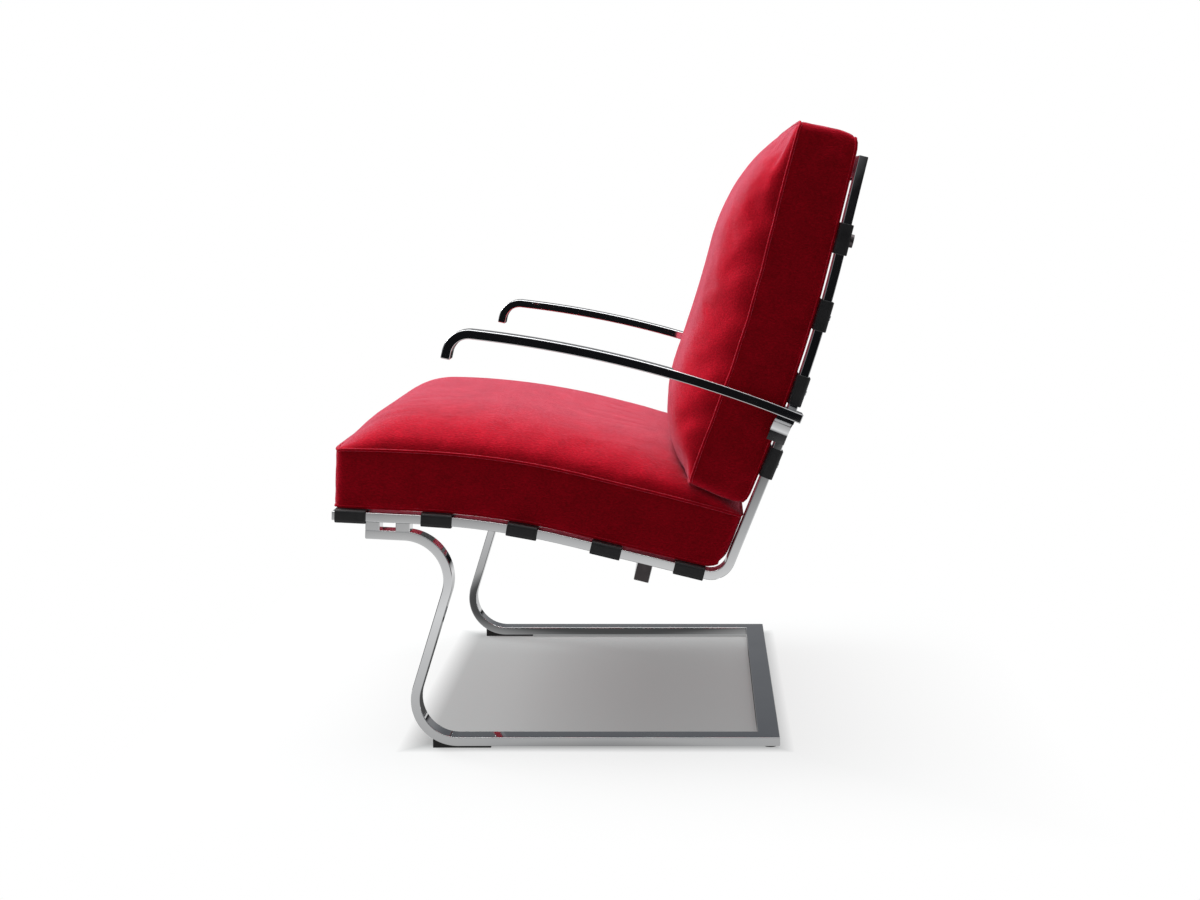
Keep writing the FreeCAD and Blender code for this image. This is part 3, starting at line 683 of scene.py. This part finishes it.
def crease_depth(distance, from_seam, seed):
    """Soft creases in the back panel that run down and inwards from the side seams."""
    depth = 0.0
    for number, place in enumerate(CREASE_PLACES):
        wander = noise.noise((number * 1.7, seed, 0.4))
        slant = math.radians(CREASE_SLANT + CREASE_TURN * wander)
        length = CREASE_LENGTH * (1 + 0.5 * noise.noise((number * 2.3, seed, 7.1)))
        down = place + CREASE_WANDER * wander - distance
        along = down * math.sin(slant) + from_seam * math.cos(slant)
        across = down * math.cos(slant) - from_seam * math.sin(slant)
        if 0 < along < length:
            depth += math.sin(math.pi * along / length) * math.exp(-(across / CREASE_WIDTH) ** 2)
    return CREASE_DEPTH * depth


class Panelled:
    """The skin of a cushion: a box of cells whose top, bottom and boxing are placed by a rule."""

    def __init__(self, length, width, height, place):
        self.n = round(length / PANEL_CELL)
        self.m = round(width / PANEL_CELL)
        self.k = round(height / PANEL_CELL)
        self.index = {}
        self.vertices = []
        self.faces = []
        n, m, k = self.n, self.m, self.k
        for i in range(n + 1):
            for j in range(m + 1):
                for l in range(k + 1):
                    if i in (0, n) or j in (0, m) or l in (0, k):
                        self.index[i, j, l] = len(self.vertices)
                        self.vertices.append(place(i / n, 2 * j / m - 1, l / k))
        for l in (0, k):
            self.grid(lambda a, b, l=l: (a, b, l), n, m)
        for j in (0, m):
            self.grid(lambda a, b, j=j: (a, j, b), n, k)
        for i in (0, n):
            self.grid(lambda a, b, i=i: (i, a, b), m, k)

    def grid(self, key, columns, rows):
        for a in range(columns):
            for b in range(rows):
                corners = ((a, b), (a + 1, b), (a + 1, b + 1), (a, b + 1))
                self.faces.append(tuple(self.index[key(*c)] for c in corners))

    def held(self, nested):
        """Vertices that the seams, the straps and, on the seat, the back cushion hold still."""
        found = []
        for (i, j, l), number in self.index.items():
            on_seam = l in (0, self.k) and (i in (0, self.n) or j in (0, self.m))
            if on_seam or l == 0 or (nested and i > NESTED_FROM * self.n and l == self.k):
                found.append(number)
        return found

    def loop(self, level):
        """Vertices round the boxing at one level, in order."""
        n, m = self.n, self.m
        keys = [(i, 0) for i in range(n)] + [(n, j) for j in range(m)]
        keys += [(i, m) for i in range(n, 0, -1)] + [(0, j) for j in range(m, 0, -1)]
        return [self.index[i, j, level] for i, j in keys]


def seat_rule():
    """Places the seat cushion's skin on the straps, with its rear end leaning with the back."""
    path = rail_path()
    low, high = UNDER_CUSHION, UNDER_CUSHION + SEAT_BOXING
    straps = strap_places()["seat"]
    run_end = path.length(2)
    base_line = straight_at(path, run_end)
    rear_line = straight_at(path, corner_end())
    between = rear_line.heading - base_line.heading

    def rear_at(offset):
        """Distance along the rail's line of the rear panel at a height over it."""
        start = rear_line.at(0, HALF_BAR + CUSHION_GAP)[0] - base_line.start
        along, up = start.dot(direction(base_line.heading)), start.dot(direction(base_line.heading + 90))
        return run_end + along + (offset - up) / math.tan(math.radians(between))

    def place(s, across, t):
        level = low + (high - low) * t
        length = rear_at(level)
        distance = s * length
        width = CUSHION_HALF_WIDTH - drawn_in(distance, length)
        behind, above = rounded_corner(length - distance, t * SEAT_BOXING, SEAT_HEEL_RADIUS)
        distance, level = length - behind, low + above
        if t == 0:
            level -= strap_bulge(distance, across, straps)
        x = across * width
        for end, sign in ((0.0, 1), (length, -1)):
            a, b = rounded_corner(abs(distance - end), width - abs(x), CORNER_IN_PLAN)
            distance = end + sign * a
            x = math.copysign(width - b, x) if x else 0.0
        if t == 1:
            crown = SEAT_CROWN * crown_share(across, SEAT_CROWN_FLAT)
            if crown > 1e-6:
                level += min(roll_height(distance, SEAT_FRONT_ROLL, crown),
                             roll_height(length - distance, SEAT_REAR_ROLL, crown))
        if distance <= run_end:
            point = path.at(distance, level)[0]
        else:
            point = base_line.at(distance - run_end, level)[0]
        return pressed(Vector((x, point.x, point.y)))

    return place, rear_at((low + high) / 2)


def pressed(point):
    """A point of the seat cushion, pressed down to where the back cushion stands on it."""
    foot, heading = rail_path().at(corner_end() + BACK_START)
    local = Vector((point.y, point.z)) - foot
    along, offset = local.dot(direction(heading)), local.dot(direction(heading + 90))
    crown = BACK_CROWN * crown_share(point.x / CUSHION_HALF_WIDTH, BACK_CROWN_FLAT)
    height = offset - UNDER_CUSHION - BACK_BOXING
    if height >= crown - NEST_GAP or crown < NEST_GAP:
        return point
    surface = 0.0
    if height > 0:
        radius = (BACK_BOTTOM_ROLL ** 2 + crown ** 2) / (2 * crown)
        surface = BACK_BOTTOM_ROLL - math.sqrt(radius ** 2 - (radius + height - crown) ** 2)
    over = along - surface + NEST_GAP
    if over > 0:
        down = direction(heading) * over
        point = point - Vector((0, down.x, down.y))
    return point


def back_rule():
    """Places the back cushion's skin before the back straps."""
    path = rail_path(BACK_OVERHANG)
    low, high = UNDER_CUSHION, UNDER_CUSHION + BACK_BOXING
    straps = strap_places()["back"]
    begin, end = corner_end() + BACK_START, path.length()
    length = end - begin

    def place(s, across, t):
        level = low + (high - low) * t
        distance = s * length
        width = CUSHION_HALF_WIDTH - drawn_in(distance, length)
        for stop, sign in ((0.0, 1), (length, -1)):
            a, b = rounded_corner(abs(distance - stop), t * BACK_BOXING, BACK_EDGE_RADIUS)
            distance, level = stop + sign * a, level if b == t * BACK_BOXING else low + b
        if t == 0:
            level -= strap_bulge(begin + distance, across, straps)
        x = across * width
        for stop, sign in ((0.0, 1), (length, -1)):
            a, b = rounded_corner(abs(distance - stop), width - abs(x), CORNER_IN_PLAN)
            distance = stop + sign * a
            x = math.copysign(width - b, x) if x else 0.0
        if t == 1:
            crown = BACK_CROWN * crown_share(across, BACK_CROWN_FLAT)
            if crown > 1e-6:
                level += min(roll_height(distance, BACK_BOTTOM_ROLL, crown),
                             roll_height(length - distance, BACK_TOP_ROLL, crown))
                level -= crease_depth(distance, width - abs(x), 3.0 if x > 0 else 9.0)
        point = path.at(begin + distance, level)[0]
        return Vector((x, point.x, point.y))

    return place, length


def smoothed(values, edges, held, rounds):
    """Values averaged with their neighbours' a number of times; held ones stay at zero."""
    count = numpy.zeros(len(values))
    numpy.add.at(count, edges.ravel(), 1)
    for _ in range(rounds):
        total = numpy.zeros_like(values)
        numpy.add.at(total, edges[:, 0], values[edges[:, 1]])
        numpy.add.at(total, edges[:, 1], values[edges[:, 0]])
        values = (values + total / count[:, None]) / 2
        values[held] = 0
    return values


def settle_fabric(piece, held, folds_kept):
    """Lets the cover swell and pucker between its seams and the parts that rest on something.
    It keeps its folds, little of the swelling, and no point moves further than its reach."""
    mesh = piece.data
    start = numpy.zeros(len(mesh.vertices) * 3)
    mesh.vertices.foreach_get("co", start)
    group = piece.vertex_groups.new(name="sewn")
    group.add(held, 1.0, "REPLACE")
    fabric = piece.modifiers.new("fabric", "CLOTH")
    rule = fabric.settings
    rule.quality = 5
    rule.mass = 0.3
    rule.tension_stiffness = rule.compression_stiffness = 30
    rule.shear_stiffness = 10
    rule.bending_stiffness = 0.25
    rule.shrink_min = -FABRIC_EASE
    rule.use_pressure = True
    rule.uniform_pressure_force = FABRIC_PRESSURE
    rule.effector_weights.gravity = 0
    rule.vertex_group_mass = "sewn"
    fabric.collision_settings.use_collision = False
    fabric.point_cache.frame_start = 1
    fabric.point_cache.frame_end = FABRIC_FRAMES
    scene = bpy.context.scene
    for frame_number in range(1, FABRIC_FRAMES + 1):
        scene.frame_set(frame_number)
    settled = piece.evaluated_get(bpy.context.evaluated_depsgraph_get()).data
    end = numpy.zeros_like(start)
    settled.vertices.foreach_get("co", end)
    piece.modifiers.remove(fabric)
    piece.vertex_groups.remove(group)
    scene.frame_set(1)
    edges = numpy.zeros(len(mesh.edges) * 2, dtype=int)
    mesh.edges.foreach_get("vertices", edges)
    start, end = start.reshape(-1, 3), end.reshape(-1, 3)
    moved = end - start
    moved[held] = 0
    swelling = smoothed(moved, edges.reshape(-1, 2), held, SWELL_ROUNDS)
    kept = SWELL_KEPT * swelling + folds_kept * (moved - swelling)
    size = numpy.linalg.norm(kept, axis=1, keepdims=True)
    kept *= numpy.tanh(size / FABRIC_REACH) * FABRIC_REACH / numpy.maximum(size, 1e-9)
    print("fabric", piece.name, "moved", numpy.abs(moved).max(), "kept", numpy.abs(kept).max())
    mesh.vertices.foreach_set("co", (start + kept).ravel())
    mesh.update()


def subdivided(piece):
    """One round of subdivision, written into the mesh; the first vertices keep their numbers."""
    modifier = piece.modifiers.new("finer", "SUBSURF")
    modifier.levels = modifier.render_levels = 1
    fine = bpy.data.meshes.new_from_object(piece.evaluated_get(bpy.context.evaluated_depsgraph_get()))
    piece.modifiers.remove(modifier)
    piece.data = fine
    fine.shade_smooth()


def build_piping(name, piece, loop):
    """A thin welt along a seam, a little proud of it."""
    mesh = piece.data
    points = [mesh.vertices[n].co + mesh.vertices[n].normal * PIPING_STAND for n in loop]
    centre = sum(points, Vector()) / len(points)
    around = 8
    vertices = []
    for number, point in enumerate(points):
        along = (points[(number + 1) % len(points)] - points[number - 1]).normalized()
        out = (point - centre).cross(along).cross(along).normalized()
        side = along.cross(out)
        for n in range(around):
            angle = 2 * math.pi * n / around
            vertices.append(point + (out * math.cos(angle) + side * math.sin(angle)) * PIPING_RADIUS)
    made = mesh_object(name, vertices, tube_faces(len(points), around, closed=True))
    fix_normals(made)
    return made


def build_cushions(velvet):
    for body, rule, boxing, folds_kept in (("seat_cushion", seat_rule, SEAT_BOXING, SEAT_FOLDS_KEPT),
                                           ("back_cushion", back_rule, BACK_BOXING, BACK_FOLDS_KEPT)):
        place, length = rule()
        skin = Panelled(length, 2 * CUSHION_HALF_WIDTH, boxing, place)
        piece = mesh_object(body + "_velvet", skin.vertices, skin.faces)
        fix_normals(piece)
        settle_fabric(piece, skin.held(body == "seat_cushion"), folds_kept)
        subdivided(piece)
        for edge, level in (("upper", skin.k), ("lower", 0)):
            welt = build_piping("%s_%s_piping" % (body, edge), piece, skin.loop(level))
            dress(welt, velvet, "red_velvet", body=body)
        dress(piece, velvet, "red_velvet", body + "_cover", body + "_core", body=body)


def finish_cad_nodes(chrome, plastic, dark):
    """Carried-over nodes: small steel parts, the dark studs and the glides."""
    for name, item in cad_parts.items():
        if item.hide_render:
            continue
        material = plastic if "glide" in name else dark if "stud" in name else chrome
        paint(item, material)


# Stage, light and camera

def light_path_mix(nodes, links, *names):
    """1 for the given kinds of ray, else 0."""
    path = nodes.new("ShaderNodeLightPath")
    total = path.outputs[names[0]]
    for name in names[1:]:
        largest = node(nodes, "ShaderNodeMath", operation="MAXIMUM")
        links.new(total, largest.inputs[0])
        links.new(path.outputs[name], largest.inputs[1])
        total = largest.outputs[0]
    return total


FLOOR_RADIUS = 3.9
FLOOR_SIDES = 96

# Painted reflection: the floor's brightness in the mirror of the steel, glowing for mirror rays only, by
# distance from the chair in metres; dark under the chair as painted shadow and dark again towards the
# rim
FLOOR_PAINTED_REFLECTION = [(0.30, 0.07), (0.40, 0.42), (1.25, 0.74), (2.0, 0.48), (2.6, 0.30), (3.7, 0.03)]
# Painted shadow: the grey that the floor shows the camera inside the base
FLOOR_PAINTED_SHADOW_INSIDE_BASE = 0.34


def build_floor():
    """A white sweep: evenly grey inside the base, where a painted shadow is mixed over the chair's real
    one, and soon white outside it, where painted white covers the real shadow.
    """
    turns = [2 * math.pi * n / FLOOR_SIDES for n in range(FLOOR_SIDES)]
    ring = [(FLOOR_RADIUS * math.cos(turn), FLOOR_RADIUS * math.sin(turn), 0.0) for turn in turns]
    floor = mesh_object("studio_floor", ring, [tuple(range(FLOOR_SIDES))], smooth=False)
    material, nodes, links, shader = new_material("studio_floor")
    camera = light_path_mix(nodes, links, "Is Camera Ray")
    mirror = light_path_mix(nodes, links, "Is Glossy Ray")
    tone = node(nodes, "ShaderNodeMix", data_type="RGBA")
    tone.inputs[6].default_value = (0.55, 0.55, 0.55, 1)
    tone.inputs[7].default_value = (0.93, 0.97, 0.97, 1)
    links.new(camera, tone.inputs[0])
    links.new(tone.outputs[2], shader.inputs["Base Color"])
    shader.inputs["Roughness"].default_value = 1.0
    shader.inputs["Specular IOR Level"].default_value = 0.0
    place = nodes.new("ShaderNodeTexCoord")
    parts = nodes.new("ShaderNodeSeparateXYZ")
    links.new(place.outputs["Object"], parts.inputs[0])
    base_low, base_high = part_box("base_runner_left")
    gaps = []
    for axis, middle, half in (("X", 0.0, HALF_FRAME),
                               ("Y", (base_low.y + base_high.y) / 2, (base_high.y - base_low.y) / 2)):
        moved = node(nodes, "ShaderNodeMath", operation="SUBTRACT")
        links.new(parts.outputs[axis], moved.inputs[0])
        moved.inputs[1].default_value = middle
        size = node(nodes, "ShaderNodeMath", operation="ABSOLUTE")
        links.new(moved.outputs[0], size.inputs[0])
        outside = node(nodes, "ShaderNodeMath", operation="SUBTRACT")
        links.new(size.outputs[0], outside.inputs[0])
        outside.inputs[1].default_value = half
        gaps.append(outside.outputs[0])
    gap = node(nodes, "ShaderNodeMath", operation="MAXIMUM")
    links.new(gaps[0], gap.inputs[0])
    links.new(gaps[1], gap.inputs[1])
    # Share of painted floor tone the camera sees: 0.60 inside the base, 0.78 at its edge and 1 by 0.40 m
    # out, so the real shadow fades out beyond the base
    near = map_range(nodes, links, gap.outputs[0], -0.02, 0.02, 0.60, 0.78)
    far = map_range(nodes, links, gap.outputs[0], 0.02, 0.40, 0.0, 0.22)
    white_share = node(nodes, "ShaderNodeMath", operation="ADD")
    links.new(near, white_share.inputs[0])
    links.new(far, white_share.inputs[1])
    share = node(nodes, "ShaderNodeMath", operation="MULTIPLY")
    links.new(white_share.outputs[0], share.inputs[0])
    links.new(camera, share.inputs[1])
    # Painted floor tone: grey inside the base as painted shadow, white outside it as painted light over
    # the real shadow
    white = node(nodes, "ShaderNodeEmission", Strength=1.0)
    links.new(map_range(nodes, links, gap.outputs[0], -0.02, 0.02, FLOOR_PAINTED_SHADOW_INSIDE_BASE, 1.0),
              white.inputs["Color"])
    seen = nodes.new("ShaderNodeMixShader")
    links.new(share.outputs[0], seen.inputs[0])
    links.new(shader.outputs[0], seen.inputs[1])
    links.new(white.outputs[0], seen.inputs[2])
    # Painted reflection: mirror rays see the floor glow by its distance from the chair instead of its
    # lit shading
    size = node(nodes, "ShaderNodeVectorMath", operation="LENGTH")
    links.new(place.outputs["Object"], size.inputs[0])
    distance = map_range(nodes, links, size.outputs["Value"], 0.0, FLOOR_RADIUS, 0.0, 1.0)
    glow = ramp(nodes, links, distance, [(d / FLOOR_RADIUS, (v, v, v)) for d, v in FLOOR_PAINTED_REFLECTION])
    reflected = node(nodes, "ShaderNodeEmission", Strength=1.0)
    links.new(glow, reflected.inputs["Color"])
    both = nodes.new("ShaderNodeMixShader")
    links.new(mirror, both.inputs[0])
    links.new(seen.outputs[0], both.inputs[1])
    links.new(reflected.outputs[0], both.inputs[2])
    links.new(both.outputs[0], nodes["Material Output"].inputs["Surface"])
    floor.data.materials.append(material)


def build_world():
    """White for the camera, soft grey for light, and a dark studio with a pale band for mirrors."""
    world = bpy.data.worlds.new("studio")
    bpy.context.scene.world = world
    world.use_nodes = True
    nodes, links = world.node_tree.nodes, world.node_tree.links
    nodes.clear()
    output = nodes.new("ShaderNodeOutputWorld")
    place = nodes.new("ShaderNodeTexCoord")
    parts = nodes.new("ShaderNodeSeparateXYZ")
    links.new(place.outputs["Generated"], parts.inputs[0])
    height = map_range(nodes, links, parts.outputs["Z"], -1.0, 1.0, 0.0, 1.0)
    mirror = ramp(nodes, links, height, [
        (0.47, (0.006, 0.006, 0.007)), (0.505, (0.010, 0.010, 0.011)), (0.53, (0.22, 0.22, 0.225)),
        (0.58, (0.20, 0.205, 0.215)), (0.65, (0.10, 0.105, 0.115)), (0.80, (0.30, 0.30, 0.31)),
        (0.95, (0.9, 0.9, 0.9))])
    glossy = node(nodes, "ShaderNodeBackground", Strength=1.0)
    links.new(mirror, glossy.inputs["Color"])
    soft = node(nodes, "ShaderNodeBackground", Strength=0.32)
    soft.inputs["Color"].default_value = (1, 1, 1, 1)
    seen = node(nodes, "ShaderNodeBackground", Strength=1.0)
    seen.inputs["Color"].default_value = (1, 1, 1, 1)
    first, second = nodes.new("ShaderNodeMixShader"), nodes.new("ShaderNodeMixShader")
    links.new(light_path_mix(nodes, links, "Is Glossy Ray"), first.inputs[0])
    links.new(soft.outputs[0], first.inputs[1])
    links.new(glossy.outputs[0], first.inputs[2])
    links.new(light_path_mix(nodes, links, "Is Camera Ray"), second.inputs[0])
    links.new(first.outputs[0], second.inputs[1])
    links.new(seen.outputs[0], second.inputs[2])
    links.new(second.outputs[0], output.inputs["Surface"])


def softbox(name, place, aim, width, depth, power):
    lamp = bpy.data.lights.new(name, "AREA")
    lamp.shape = "RECTANGLE"
    lamp.size, lamp.size_y, lamp.energy = width, depth, power
    item = bpy.data.objects.new(name, lamp)
    item.location = place
    item.rotation_mode = "QUATERNION"
    item.rotation_quaternion = (Vector(aim) - Vector(place)).to_track_quat("-Z", "Y")
    bpy.context.scene.collection.objects.link(item)
    return item


def build_lights():
    softbox("overhead_softbox", (-0.4, -0.1, 2.5), (0.0, 0.0, 0.4), 2.4, 2.0, 42)
    softbox("front_softbox", (-0.7, -2.0, 2.0), (0.0, 0.1, 0.6), 1.4, 1.0, 50)


CAMERA_PLACE = (2.8786, 0.1350, 0.7546)
CAMERA_PITCH = 7.636
CAMERA_LENS = 56.63
CAMERA_SHIFT = -0.081


def build_camera():
    camera = bpy.data.cameras.new("camera")
    camera.lens = CAMERA_LENS
    camera.sensor_width = 36.0
    camera.shift_x = CAMERA_SHIFT
    item = bpy.data.objects.new("camera", camera)
    item.location = CAMERA_PLACE
    pitch = math.radians(CAMERA_PITCH)
    item.rotation_mode = "QUATERNION"
    item.rotation_quaternion = Vector((-math.cos(pitch), 0, -math.sin(pitch))).to_track_quat("-Z", "Y")
    bpy.context.scene.collection.objects.link(item)
    bpy.context.scene.camera = item


build_camera()
build_world()
build_lights()
build_floor()
chrome = chrome_material()
dark = dark_ends_and_studs_material()
build_steel(chrome, dark)
build_straps(leather_material())
build_cushions(velvet_material())
finish_cad_nodes(chrome, plastic_material(), dark)
bpy.context.scene.view_settings.view_transform = "Standard"
